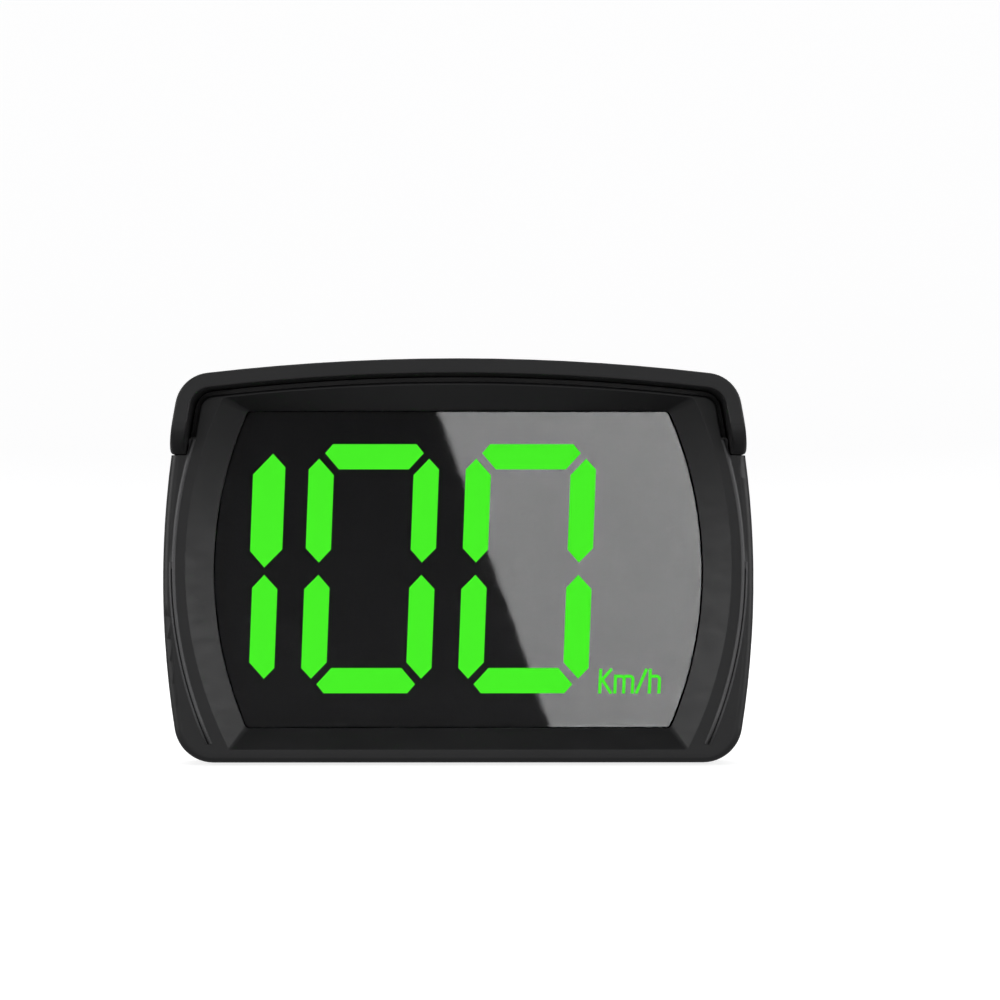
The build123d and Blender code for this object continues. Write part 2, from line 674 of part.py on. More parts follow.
with BuildPart() as display_block:
    with BuildSketch(layer(BOARD_FRONT)):
        add(opening_outline(BLOCK_OVERLAP))
    extrude(amount=BLOCK_DEPTH)
    with BuildSketch(layer(BOARD_FRONT)):
        for bar in lit_bars + dark_bars:
            add(bar)
    extrude(amount=BLOCK_DEPTH, mode=Mode.SUBTRACT)
    with BuildSketch(layer(BLOCK_FRONT + DIFFUSER_THICKNESS)):
        for glyph in legend_glyphs:
            add(glyph)
    extrude(amount=DIFFUSER_THICKNESS, mode=Mode.SUBTRACT)
    with BuildSketch(layer(BOARD_FRONT)):
        add(rounded_box(*LEGEND_BOX, 0.5))
    extrude(amount=BLOCK_DEPTH - DIFFUSER_THICKNESS, mode=Mode.SUBTRACT)

with BuildPart() as lit_segments:
    with BuildSketch(layer(BLOCK_FRONT + DIFFUSER_THICKNESS)):
        for bar in lit_bars:
            add(bar)
    extrude(amount=DIFFUSER_THICKNESS)

with BuildPart() as dark_segments:
    with BuildSketch(layer(BLOCK_FRONT + DIFFUSER_THICKNESS)):
        for bar in dark_bars:
            add(bar)
    extrude(amount=DIFFUSER_THICKNESS)

with BuildPart() as unit_legend:
    with BuildSketch(layer(BLOCK_FRONT + DIFFUSER_THICKNESS)):
        for glyph in legend_glyphs:
            add(glyph)
    extrude(amount=DIFFUSER_THICKNESS)

led_places = [bar.face().center() for bar in lit_bars + dark_bars]
legend_led = ((LEGEND_BOX[0] + LEGEND_BOX[1]) / 2, (LEGEND_BOX[2] + LEGEND_BOX[3]) / 2)
SMALL_PART = (1.6, 0.8)  # plan of an LED, resistor or capacitor

with BuildPart() as leds:
    with BuildSketch(layer(BOARD_FRONT)):
        with Locations(*[(place.X, place.Y) for place in led_places], legend_led):
            Rectangle(*SMALL_PART)
    extrude(amount=LED_HEIGHT)

BOARD_WIDE = (-38.0, 38.0, 10.5, 40.6)  # between the case screws' bosses
BOARD_TALL = (-30.4, 30.4, 3.0, 50.2)  # beside them

with BuildPart() as circuit_board:
    with BuildSketch(layer(BOARD_BACK)):
        add(rounded_box(*BOARD_WIDE, 1.0))
        add(rounded_box(*BOARD_TALL, 1.0))
        with Locations(*BOARD_SCREWS):
            Circle(BOARD_SCREW_RADIUS + SEAM, mode=Mode.SUBTRACT)
    extrude(amount=BOARD_THICKNESS)

BOARD_SCREW_LENGTH = 4.5
BOARD_HEAD_HEIGHT = 0.8

with BuildPart() as board_screws:
    with BuildSketch(layer(BOARD_BACK)):
        with Locations(*BOARD_SCREWS):
            Circle(BOARD_SCREW_RADIUS)
    extrude(amount=BOARD_SCREW_LENGTH)
    with BuildSketch(layer(BOARD_BACK + BOARD_HEAD_HEIGHT)):
        with Locations(*BOARD_SCREWS):
            Circle(BOARD_SCREW_HEAD)
    extrude(amount=BOARD_HEAD_HEIGHT)
    fillet(board_screws.edges().group_by(Axis.Y)[-1], 0.3)

# ==== Electronics behind the board ====

# Centre, width, height and thickness of the processor, the charger and the memory
CHIPS = [(-24, 37, 7, 7, 1.4), (-13, 39, 5, 4, 1.2), (-3, 45, 5, 4, 1.2)]
CHIP_CHAMFER = 0.3
# Centre, spacing and number across and up of each group of small components
PASSIVE_GROUPS = [(-16, 45, 2.6, 2.2, 5, 1), (-31, 37, 2.6, 2.2, 1, 4), (7, 37, 2.6, 2.2, 3, 2)]

with BuildPart() as chips:
    for x, z, width, height, rise in CHIPS:
        with BuildSketch(layer(BOARD_BACK + rise)):
            with Locations((x, z)):
                Rectangle(width, height)
        extrude(amount=rise)
    chamfer(chips.edges().filter_by(Axis.Y), CHIP_CHAMFER)

with BuildPart() as passives:
    with BuildSketch(layer(BOARD_BACK + SMALL_PART[1])):
        for x, z, across, up, columns, rows in PASSIVE_GROUPS:
            with Locations((x, z)):
                with GridLocations(across, up, columns, rows):
                    Rectangle(*SMALL_PART)
    extrude(amount=SMALL_PART[1])

GPS_PLACE = (28.5, 36.5)
GPS_SIZE = (11.6, 10.6)
GPS_BACK = BOARD_BACK + 2.2
ANTENNA_SIDE = 10.0
ANTENNA_BACK = GPS_BACK + 3.8
FEED_OFFSET = 1.2  # the antenna's feed pin, below its centre
FEED_RADIUS = 0.7
FEED_RISE = 0.1

with BuildPart() as gps_shield:
    with BuildSketch(layer(GPS_BACK)):
        with Locations(GPS_PLACE):
            RectangleRounded(*GPS_SIZE, 0.5)
    extrude(amount=GPS_BACK - BOARD_BACK)

with BuildPart() as gps_antenna:
    with BuildSketch(layer(ANTENNA_BACK)):
        with Locations(GPS_PLACE):
            Rectangle(ANTENNA_SIDE, ANTENNA_SIDE)
    extrude(amount=ANTENNA_BACK - GPS_BACK)
    with BuildSketch(layer(ANTENNA_BACK + FEED_RISE)):
        with Locations((GPS_PLACE[0], GPS_PLACE[1] - FEED_OFFSET)):
            Circle(FEED_RADIUS)
    extrude(amount=2 * FEED_RISE)

BATTERY_TAPE_THICKNESS = 0.3
BATTERY_FRONT = BOARD_BACK + BATTERY_TAPE_THICKNESS
BATTERY_THICKNESS = 3.6
BATTERY_BOX = (-26, 10, 5.6, 25.6)
BATTERY_TAPE_BOX = (-23, 7, 8, 24)
BATTERY_TAB_BOX = (-24, 8, 25.4, 28.2)  # folded top seam of the pouch
BATTERY_TAB_BACK = BATTERY_FRONT + 2.1
BATTERY_TAB_THICKNESS = 0.5
BATTERY_TAB_TOP = BATTERY_TAB_BOX[3]

with BuildPart() as battery_tape:
    with BuildSketch(layer(BATTERY_FRONT)):
        add(rounded_box(*BATTERY_TAPE_BOX, 0.5))
    extrude(amount=BATTERY_TAPE_THICKNESS)

with BuildPart() as battery:
    with BuildSketch(layer(BATTERY_FRONT + BATTERY_THICKNESS)):
        add(rounded_box(*BATTERY_BOX, 1.0))
    extrude(amount=BATTERY_THICKNESS)
    fillet(battery.edges().group_by(Axis.Y)[-1], 0.8)
    with BuildSketch(layer(BATTERY_TAB_BACK)):
        add(rounded_box(*BATTERY_TAB_BOX))
    extrude(amount=BATTERY_TAB_THICKNESS)

PLUG_BOX = (13.6, 19.6, 19.0, 24.0)
PLUG_HEIGHT = 4.2
PLUG_TOP = PLUG_BOX[3]

with BuildPart() as battery_plug:
    with BuildSketch(layer(BOARD_BACK + PLUG_HEIGHT)):
        add(rounded_box(*PLUG_BOX, 0.4))
    extrude(amount=PLUG_HEIGHT)

BATTERY_LEADS = [(6.6, 15.6), (4.4, 17.6)]  # where each leaves the pouch and enters the plug
LEAD_BEND = 29.0
LEAD_DEPTH = BATTERY_TAB_BACK - BATTERY_TAB_THICKNESS / 2

with BuildPart() as battery_leads:
    for start_x, end_x in BATTERY_LEADS:
        with BuildLine(layer(LEAD_DEPTH)) as lead_path:
            Line((start_x, BATTERY_TAB_TOP), (start_x, LEAD_BEND))
            ThreePointArc(
                (start_x, LEAD_BEND),
                ((start_x + end_x) / 2, LEAD_BEND + (end_x - start_x) / 2),
                (end_x, LEAD_BEND),
            )
            Line((end_x, LEAD_BEND), (end_x, PLUG_TOP))
        with BuildSketch(Plane(lead_path.line @ 0, z_dir=lead_path.line % 0)):
            Circle(LEAD_RADIUS)
        sweep(path=lead_path.line)

BUZZER_RADIUS = 4.0
BUZZER_THICKNESS = 3.4
BUZZER_HOLE = (0.8, 1.5)  # radius and depth

with BuildPart() as buzzer:
    with BuildSketch(layer(BOARD_BACK + BUZZER_THICKNESS)):
        with Locations((BUZZER_X, BUZZER_HEIGHT)):
            Circle(BUZZER_RADIUS)
    extrude(amount=BUZZER_THICKNESS)
    fillet(buzzer.edges().group_by(Axis.Y)[-1], 0.4)
    with BuildSketch(layer(BOARD_BACK + BUZZER_THICKNESS)):
        with Locations((BUZZER_X, BUZZER_HEIGHT)):
            Circle(BUZZER_HOLE[0])
    extrude(amount=BUZZER_HOLE[1], mode=Mode.SUBTRACT)

SHELL_THICKNESS = 0.3
SHELL_END = 0.4  # closed end of the shell
TONGUE = (0.7, 6.7)
TONGUE_BASE = (2.2, 7.2)
TONGUE_SETBACK = 0.6  # the tongue's tip inside the shell's mouth
TONGUE_BASE_LENGTH = 1.4

with BuildPart() as usb_shell:
    with BuildSketch(side_layer(USB_MOUTH - USB_LENGTH)):
        with Locations((USB_DEPTH, USB_HEIGHT)):
            SlotOverall(USB_WIDTH, USB_THICKNESS, rotation=90)
    extrude(amount=USB_LENGTH)
    with BuildSketch(side_layer(USB_MOUTH - USB_LENGTH + SHELL_END)):
        with Locations((USB_DEPTH, USB_HEIGHT)):
            SlotOverall(USB_WIDTH - 2 * SHELL_THICKNESS, USB_THICKNESS - 2 * SHELL_THICKNESS, rotation=90)
    extrude(amount=USB_LENGTH, mode=Mode.SUBTRACT)

with BuildPart() as usb_tongue:
    with BuildSketch(side_layer(USB_MOUTH - USB_LENGTH + SHELL_END)):
        with Locations((USB_DEPTH, USB_HEIGHT)):
            Rectangle(*TONGUE)
    extrude(amount=USB_LENGTH - SHELL_END - TONGUE_SETBACK)
    with BuildSketch(side_layer(USB_MOUTH - USB_LENGTH + SHELL_END)):
        with Locations((USB_DEPTH, USB_HEIGHT)):
            Rectangle(*TONGUE_BASE)
    extrude(amount=TONGUE_BASE_LENGTH)

# ==== Mode button ====

SWITCH_WELL_RADIUS = PLUNGER_RADIUS + RUNNING_FIT
FLANGE_BACK = REAR_WALL_FRONT - 0.2  # flange that keeps the button in the case
FLANGE_RADIUS = BUTTON_RADIUS + 0.7
BUTTON_BACK = CASE_DEPTH + 0.5
BUTTON_ROUND = 0.45

with BuildPart() as switch_body:
    with BuildSketch(layer(SWITCH_BACK)):
        with Locations((BUTTON_X, BUTTON_HEIGHT)):
            Rectangle(SWITCH_SIZE, SWITCH_SIZE)
    extrude(amount=SWITCH_BACK - BOARD_BACK)
    with BuildSketch(layer(SWITCH_BACK)):
        with Locations((BUTTON_X, BUTTON_HEIGHT)):
            Circle(SWITCH_WELL_RADIUS)
    extrude(amount=SWITCH_WELL, mode=Mode.SUBTRACT)

with BuildPart() as switch_plunger:
    with BuildSketch(layer(PLUNGER_BACK)):
        with Locations((BUTTON_X, BUTTON_HEIGHT)):
            Circle(PLUNGER_RADIUS)
    extrude(amount=PLUNGER_BACK - SWITCH_BACK + SWITCH_WELL - BUTTON_TRAVEL - SEAM)

with BuildPart() as mode_button:
    with BuildSketch(layer(FLANGE_BACK)):
        with Locations((BUTTON_X, BUTTON_HEIGHT)):
            Circle(FLANGE_RADIUS)
    extrude(amount=FLANGE_BACK - PLUNGER_BACK)
    with BuildSketch(layer(BUTTON_BACK)):
        with Locations((BUTTON_X, BUTTON_HEIGHT)):
            Circle(BUTTON_RADIUS)
    extrude(amount=BUTTON_BACK - FLANGE_BACK + SEAM)
    fillet(mode_button.edges().group_by(Axis.Y)[-1], BUTTON_ROUND)

# ==== Solar panel ====

SOLAR_TAPE_BACK = SOLAR_FLOOR + 0.1
SOLAR_BOARD_BACK = SOLAR_TAPE_BACK + 0.6
SOLAR_CELL_BACK = SOLAR_BOARD_BACK + 0.2
SOLAR_COVER_BACK = SOLAR_CELL_BACK + 0.4
CELL_COUNT = 5
CELL_GAP = 0.6
CELL_MARGIN = 1.2
SOLAR_TAPE_BOX = (-11, 21.6, SOLAR_CENTRE - 10, SOLAR_CENTRE + 10)  # clear of the leads

with BuildPart() as solar_tape:
    with BuildSketch(layer(SOLAR_TAPE_BACK)):
        add(rounded_box(*SOLAR_TAPE_BOX))
    extrude(amount=SOLAR_TAPE_BACK - SOLAR_FLOOR)

with BuildPart() as solar_board:
    with BuildSketch(layer(SOLAR_BOARD_BACK)):
        with Locations((0, SOLAR_CENTRE)):
            RectangleRounded(SOLAR_WIDTH, SOLAR_LENGTH, SOLAR_CORNER)
    extrude(amount=SOLAR_BOARD_BACK - SOLAR_TAPE_BACK)

CELL_WIDTH = (SOLAR_WIDTH - 2 * CELL_MARGIN + CELL_GAP) / CELL_COUNT - CELL_GAP
CELL_LENGTH = SOLAR_LENGTH - 2 * CELL_MARGIN

with BuildPart() as solar_cells:
    with BuildSketch(layer(SOLAR_CELL_BACK)):
        with Locations((0, SOLAR_CENTRE)):
            with GridLocations(CELL_WIDTH + CELL_GAP, CELL_LENGTH, CELL_COUNT, 1):
                Rectangle(CELL_WIDTH, CELL_LENGTH)
    extrude(amount=SOLAR_CELL_BACK - SOLAR_BOARD_BACK)

with BuildPart() as solar_cover:
    with BuildSketch(layer(SOLAR_COVER_BACK)):
        with Locations((0, SOLAR_CENTRE)):
            RectangleRounded(SOLAR_WIDTH, SOLAR_LENGTH, SOLAR_CORNER)
    extrude(amount=SOLAR_COVER_BACK - SOLAR_BOARD_BACK)
    with BuildSketch(layer(SOLAR_CELL_BACK)):
        with Locations((0, SOLAR_CENTRE)):
            with GridLocations(CELL_WIDTH + CELL_GAP, CELL_LENGTH, CELL_COUNT, 1):
                Rectangle(CELL_WIDTH, CELL_LENGTH)
    extrude(amount=SOLAR_CELL_BACK - SOLAR_BOARD_BACK, mode=Mode.SUBTRACT)

with BuildPart() as solar_leads:
    with BuildSketch(layer(SOLAR_TAPE_BACK)):
        with Locations(*SOLAR_LEADS):
            Circle(LEAD_RADIUS)
    extrude(amount=SOLAR_TAPE_BACK - BOARD_BACK)

# ==== Foot ====

FOOT_NEAR = HINGE_Y + 2.1  # edge of the plate beside the hinge
FOOT_FAR = HINGE_Y + FOOT_LENGTH
FOOT_EDGE_ROUND = 0.5
NOTCH_RADIUS = 5.5  # notch for a fingertip
NOTCH_OFFSET = 3.0
WEB_LENGTH = 3.0  # joins the hinge knuckle to the plate
PAD_CORNER = 4.0

with BuildPart() as foot_plate:
    with BuildSketch(Plane.XY.offset(PAD_THICKNESS)) as plate:
        with Locations((0, (FOOT_NEAR + FOOT_FAR) / 2)):
            Rectangle(FOOT_WIDTH, FOOT_FAR - FOOT_NEAR)
        fillet(plate.vertices().group_by(Axis.Y)[-1], FOOT_CORNER)
        with Locations((0, FOOT_FAR + NOTCH_OFFSET)):
            Circle(NOTCH_RADIUS, mode=Mode.SUBTRACT)
    extrude(amount=FOOT_TOP - PAD_THICKNESS)
    fillet(foot_plate.edges().group_by(Axis.Z)[-1].sort_by(Axis.Y)[1:], FOOT_EDGE_ROUND)
    # Hinge knuckle and the web that joins it to the plate
    with BuildSketch(side_layer(-KNUCKLE_HALF_LENGTH)):
        with Locations((HINGE_DEPTH, HINGE_HEIGHT)):
            Circle(HINGE_RADIUS)
        add(
            rounded_box(
                HINGE_DEPTH, HINGE_DEPTH + WEB_LENGTH, PAD_THICKNESS - CASE_LIFT, 2 * HINGE_RADIUS
            )
        )
        with Locations((HINGE_DEPTH, HINGE_HEIGHT)):
            Circle(PIN_RADIUS, mode=Mode.SUBTRACT)
    extrude(amount=2 * KNUCKLE_HALF_LENGTH)

with BuildPart() as foot_pad:
    with BuildSketch(Plane.XY):
        RectangleRounded(PAD_WIDTH, PAD_LENGTH, PAD_CORNER)
    extrude(amount=PAD_THICKNESS)

PIN_CHAMFER = 0.2

with BuildPart() as hinge_pin:
    with BuildSketch(side_layer(-PIN_HALF_LENGTH)):
        with Locations((HINGE_DEPTH, HINGE_HEIGHT)):
            Circle(PIN_RADIUS)
    extrude(amount=2 * PIN_HALF_LENGTH)
    chamfer(hinge_pin.edges().filter_by(GeomType.CIRCLE), PIN_CHAMFER)

with BuildPart() as friction_washers:
    for washer_x in (KNUCKLE_HALF_LENGTH + RUNNING_FIT, -LUG_INNER + RUNNING_FIT):
        with BuildSketch(side_layer(washer_x)):
            with Locations((HINGE_DEPTH, HINGE_HEIGHT)):
                Circle(HINGE_RADIUS - SEAM)
                Circle(PIN_RADIUS + RUNNING_FIT, mode=Mode.SUBTRACT)
        extrude(amount=LUG_INNER - KNUCKLE_HALF_LENGTH - 2 * RUNNING_FIT)

# ==== Export ====

pieces = {
    "front_case": front_case,
    "rear_case": rear_case,
    "case_screws": case_screws,
    "window": window,
    "window_tape": window_tape,
    "display_block": display_block,
    "lit_segments": lit_segments,
    "dark_segments": dark_segments,
    "unit_legend": unit_legend,
    "leds": leds,
    "circuit_board": circuit_board,
    "board_screws": board_screws,
    "chips": chips,
    "passives": passives,
    "gps_shield": gps_shield,
    "gps_antenna": gps_antenna,
    "battery": battery,
    "battery_tape": battery_tape,
    "battery_leads": battery_leads,
    "battery_plug": battery_plug,
    "buzzer": buzzer,
    "usb_shell": usb_shell,
    "usb_tongue": usb_tongue,
    "switch_body": switch_body,
    "switch_plunger": switch_plunger,
    "mode_button": mode_button,
    "solar_tape": solar_tape,
    "solar_board": solar_board,
    "solar_cells": solar_cells,
    "solar_cover": solar_cover,
    "solar_leads": solar_leads,
    "foot_plate": foot_plate,
    "foot_pad": foot_pad,
    "hinge_pin": hinge_pin,
    "friction_washers": friction_washers,
}

os.makedirs("parts", exist_ok=True)
for name, piece in pieces.items():
    piece.part.label = name
    export_step(piece.part, f"parts/{name}.step")
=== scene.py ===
import math

import bmesh
import bpy
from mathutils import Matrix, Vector


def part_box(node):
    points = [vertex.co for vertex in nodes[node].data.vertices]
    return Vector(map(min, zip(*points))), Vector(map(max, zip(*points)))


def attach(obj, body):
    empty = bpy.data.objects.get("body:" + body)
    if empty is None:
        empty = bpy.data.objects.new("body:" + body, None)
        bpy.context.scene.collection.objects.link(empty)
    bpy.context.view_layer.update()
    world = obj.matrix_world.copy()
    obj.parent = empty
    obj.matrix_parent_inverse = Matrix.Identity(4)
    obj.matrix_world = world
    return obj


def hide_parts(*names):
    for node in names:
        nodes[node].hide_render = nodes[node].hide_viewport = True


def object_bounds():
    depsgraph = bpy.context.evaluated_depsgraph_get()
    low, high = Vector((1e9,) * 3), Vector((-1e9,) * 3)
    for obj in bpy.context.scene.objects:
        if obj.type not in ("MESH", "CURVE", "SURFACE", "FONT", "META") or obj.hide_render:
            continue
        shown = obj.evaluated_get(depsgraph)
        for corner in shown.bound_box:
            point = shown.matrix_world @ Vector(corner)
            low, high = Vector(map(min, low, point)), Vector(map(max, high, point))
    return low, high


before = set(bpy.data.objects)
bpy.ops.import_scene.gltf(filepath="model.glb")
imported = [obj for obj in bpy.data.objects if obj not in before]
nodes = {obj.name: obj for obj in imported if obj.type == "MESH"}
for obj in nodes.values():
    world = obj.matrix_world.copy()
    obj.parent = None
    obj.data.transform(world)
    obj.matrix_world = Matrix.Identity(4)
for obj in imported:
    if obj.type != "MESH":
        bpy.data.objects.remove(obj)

cad_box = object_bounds()
scene = bpy.context.scene
scene.view_settings.view_transform = "Standard"
MM = 0.001
MICRON = 1e-6


# ---- Shader helpers ----
# Textures use object coordinates, which are metres on the part itself.

# Socket numbers of a Mix node's colour sockets and of a Map Range node's four limits
MIX_FACTOR, MIX_A, MIX_B, MIX_RESULT = 0, 6, 7, 2
MAP_LIMITS = slice(1, 5)


def new_material(name):
    """A node material, its tree, its Principled node and its object coordinates."""
    mat = bpy.data.materials.new(name)
    mat.use_nodes = True
    tree = mat.node_tree
    principled = tree.nodes["Principled BSDF"]
    coords = tree.nodes.new("ShaderNodeTexCoord").outputs["Object"]
    return mat, tree, principled, coords


def put(tree, socket, value):
    """Link an output to a socket, or set the socket's own value."""
    if isinstance(value, bpy.types.NodeSocket):
        tree.links.new(value, socket)
    elif isinstance(value, (tuple, list)) and len(value) == 3 and socket.type == "RGBA":
        socket.default_value = (*value, 1.0)
    else:
        socket.default_value = value


def math_node(tree, operation, a, b=0.0):
    """The result of one Math node."""
    node = tree.nodes.new("ShaderNodeMath")
    node.operation = operation
    put(tree, node.inputs[0], a)
    put(tree, node.inputs[1], b)
    return node.outputs[0]


def product(tree, a, b):
    """The product of two values."""
    return math_node(tree, "MULTIPLY", a, b)


def separate(tree, coords):
    """The x, y and z of the object coordinates."""
    node = tree.nodes.new("ShaderNodeSeparateXYZ")
    put(tree, node.inputs[0], coords)
    return node.outputs


def noise(tree, coords, size, detail=2.0, stretch=None):
    """Noise whose blotches are about size across, in metres."""
    if stretch is not None:
        mapping = tree.nodes.new("ShaderNodeMapping")
        put(tree, mapping.inputs["Vector"], coords)
        mapping.inputs["Scale"].default_value = stretch
        coords = mapping.outputs[0]
    node = tree.nodes.new("ShaderNodeTexNoise")
    put(tree, node.inputs["Vector"], coords)
    node.inputs["Scale"].default_value = 1.0 / size
    node.inputs["Detail"].default_value = detail
    return node.outputs["Fac"]


def remap(tree, value, low, high, out_low, out_high):
    """Map a range to another, held at its ends."""
    node = tree.nodes.new("ShaderNodeMapRange")
    put(tree, node.inputs["Value"], value)
    for socket, number in zip(node.inputs[MAP_LIMITS], (low, high, out_low, out_high)):
        socket.default_value = number
    return node.outputs[0]


def contrast(tree, value):
    """Noise with its middle third drawn out to run from 0 to 1."""
    return remap(tree, value, 0.35, 0.65, 0.0, 1.0)


def vary(tree, value, low, high):
    """Noise, whose values mostly lie between 0.3 and 0.7, made to run from low to high."""
    return remap(tree, value, 0.3, 0.7, low, high)


def blend_colour(tree, factor, a, b):
    """Colour a where the factor is 0 and b where it is 1."""
    node = tree.nodes.new("ShaderNodeMix")
    node.data_type = "RGBA"
    put(tree, node.inputs[MIX_FACTOR], factor)
    put(tree, node.inputs[MIX_A], a)
    put(tree, node.inputs[MIX_B], b)
    return node.outputs[MIX_RESULT]


def bump(tree, height, depth, strength, normal=None):
    """A bump of the given depth, in metres, from a 0 to 1 height."""
    node = tree.nodes.new("ShaderNodeBump")
    node.inputs["Strength"].default_value = strength
    node.inputs["Distance"].default_value = depth
    put(tree, node.inputs["Height"], height)
    if normal is not None:
        put(tree, node.inputs["Normal"], normal)
    return node.outputs[0]


# How far the rounded normal turns from the true one, as a cosine: off an edge, and full on it
EDGE_START, EDGE_FULL = 0.995, 0.86
EDGE_SAMPLES = 6


def rounded_edges(tree, radius):
    """The normal rounded over edges by radius, and a mask that is 1 along those edges."""
    rounded = tree.nodes.new("ShaderNodeBevel")
    rounded.samples = EDGE_SAMPLES
    rounded.inputs["Radius"].default_value = radius
    geometry = tree.nodes.new("ShaderNodeNewGeometry")
    dot = tree.nodes.new("ShaderNodeVectorMath")
    dot.operation = "DOT_PRODUCT"
    put(tree, dot.inputs[0], rounded.outputs[0])
    put(tree, dot.inputs[1], geometry.outputs["Normal"])
    return rounded.outputs[0], remap(tree, dot.outputs["Value"], EDGE_START, EDGE_FULL, 0.0, 1.0)


# Painted highlights along the raised beads down each side of the rim and the groove between them,
# standing in for the light they catch
RIM_FRONT = -32.2 * MM  # the rim's front face
BEAD_DEPTH = 0.5 * MM  # how far behind that face the painted highlight ends
BEAD_MIDDLE = 27.2 * MM  # height of the beads' widest points
BEAD_FOOT = (3 * MM, 7 * MM)  # heights between which the painted highlight comes in
BEAD_FADE = 3 * MM  # length over which it fades out at the top
BEAD_CORE = 0.3  # share of the painted highlight's reach that is even
# Half width, radius and top of each arc, then the reach and strength of its painted highlight
RIM_BEADS = (
    (39.7 * MM, 59.4 * MM, 46 * MM, 0.32 * MM, 0.9),
    (40.12 * MM, 60.6 * MM, 30 * MM, 0.26 * MM, 0.7),
    (39.96 * MM, 60.0 * MM, 29 * MM, 0.2 * MM, 1.0),
)
# The painted highlight's colour, much paler than the case
BEAD_HIGHLIGHT_COLOUR = (0.115, 0.115, 0.118)


def along_bead(tree, coords, half_width, radius, top, reach):
    """A mask along the side beads: arcs of a radius whose widest points are half_width out."""
    x, y, z = separate(tree, coords)
    out = math_node(tree, "ADD", math_node(tree, "ABSOLUTE", x), radius - half_width)
    up = math_node(tree, "SUBTRACT", z, BEAD_MIDDLE)
    squares = math_node(tree, "ADD", product(tree, out, out), product(tree, up, up))
    miss = math_node(tree, "SUBTRACT", math_node(tree, "SQRT", squares), radius)
    mask = remap(tree, math_node(tree, "ABSOLUTE", miss), BEAD_CORE * reach, reach, 1.0, 0.0)
    mask = product(tree, mask, remap(tree, y, RIM_FRONT, RIM_FRONT + BEAD_DEPTH, 1.0, 0.0))
    mask = product(tree, mask, remap(tree, z, *BEAD_FOOT, 0.0, 1.0))
    return product(tree, mask, remap(tree, z, top - BEAD_FADE, top, 1.0, 0.0))


# ---- Materials ----


def moulded_plastic(name, dark, light, rough, grain=4 * MICRON, edge_wear_and_highlight=0.5, bead_highlights=False):
    """Satin moulded plastic: a fine spark texture, soft blotches, and smoother edges painted
    paler, partly as wear and partly as a painted highlight, optionally with painted highlights
    along the rim's beads.
    """
    mat, tree, principled, coords = new_material(name)
    blotch = noise(tree, coords, 9 * MM, detail=3.0)
    colour = blend_colour(tree, contrast(tree, blotch), dark, light)
    spark = noise(tree, coords, 0.16 * MM)
    smear = noise(tree, coords, 4 * MM, detail=4.0, stretch=(1.0, 1.0, 2.5))
    sparkle = vary(tree, spark, rough - 0.04, rough + 0.04)
    smears = remap(tree, smear, 0.35, 0.7, -0.03, 0.05)
    roughness = math_node(tree, "ADD", sparkle, smears)
    rounded, edges = rounded_edges(tree, 0.15 * MM)
    # The edges are painted paler: partly wear, partly a painted highlight standing in for the
    # light they catch.
    paler = tuple(4.0 * c + 0.01 for c in light)
    colour = blend_colour(tree, product(tree, edges, edge_wear_and_highlight), colour, paler)
    if bead_highlights:
        # Paint highlights along the rim's beads and the groove between them.
        for half_width, radius, top, reach, highlight_strength in RIM_BEADS:
            bead = along_bead(tree, coords, half_width, radius, top, reach)
            colour = blend_colour(tree, product(tree, bead, highlight_strength), colour, BEAD_HIGHLIGHT_COLOUR)
    put(tree, principled.inputs["Base Color"], colour)
    roughness = math_node(tree, "SUBTRACT", roughness, product(tree, edges, 0.08))
    put(tree, principled.inputs["Roughness"], roughness)
    principled.inputs["IOR"].default_value = 1.5
    put(tree, principled.inputs["Normal"], bump(tree, spark, grain, 0.6, rounded))
    return mat


def glossy_plastic(name, colour, rough, spread):
    """Polished plastic with faint flow marks and fine wipe marks."""
    mat, tree, principled, coords = new_material(name)
    flow = noise(tree, coords, 14 * MM)
    tinted = blend_colour(tree, flow, colour, tuple(1.25 * c for c in colour))
    put(tree, principled.inputs["Base Color"], tinted)
    wipes = noise(tree, coords, 1.2 * MM, detail=5.0, stretch=(0.25, 1.0, 1.6))
    put(tree, principled.inputs["Roughness"], remap(tree, wipes, 0.3, 0.8, rough, rough + spread))
    ripple = noise(tree, coords, 22 * MM, detail=1.0)
    put(tree, principled.inputs["Normal"], bump(tree, ripple, 2 * MICRON, 0.5))
    return mat


def smoked_acrylic(name):
    """Clear acrylic with a grey tint. It lets rays pass straight through, as a thin sheet does."""
    mat, tree, principled, coords = new_material(name)
    cloud = noise(tree, coords, 20 * MM)
    tint = blend_colour(tree, cloud, (0.80, 0.80, 0.80), (0.84, 0.84, 0.84))
    put(tree, principled.inputs["Base Color"], tint)
    principled.inputs["Transmission Weight"].default_value = 1.0
    principled.inputs["IOR"].default_value = 1.0
    wipes = noise(tree, coords, 0.9 * MM, detail=5.0, stretch=(0.3, 1.0, 1.4))
    put(tree, principled.inputs["Roughness"], remap(tree, wipes, 0.4, 0.8, 0.0, 0.02))
    return mat


def glowing(name, colour, strength):
    """A lit diffuser: even light with a faint, fine grain."""
    mat, tree, principled, coords = new_material(name)
    grain = noise(tree, coords, 0.5 * MM)
    lit = blend_colour(tree, grain, tuple(0.97 * c for c in colour), colour)
    put(tree, principled.inputs["Base Color"], tuple(0.1 * c for c in colour))
    put(tree, principled.inputs["Emission Color"], lit)
    # It glows to the eye, straight or through the window, but is too dim to light the case
    path = tree.nodes.new("ShaderNodeLightPath")
    bounces = math_node(tree, "ADD", path.outputs["Diffuse Depth"], path.outputs["Glossy Depth"])
    direct = math_node(tree, "LESS_THAN", bounces, 0.5)
    put(tree, principled.inputs["Emission Strength"], product(tree, direct, strength))
    principled.inputs["Specular IOR Level"].default_value = 0.0
    put(tree, principled.inputs["Roughness"], vary(tree, grain, 0.5, 0.7))
    return mat


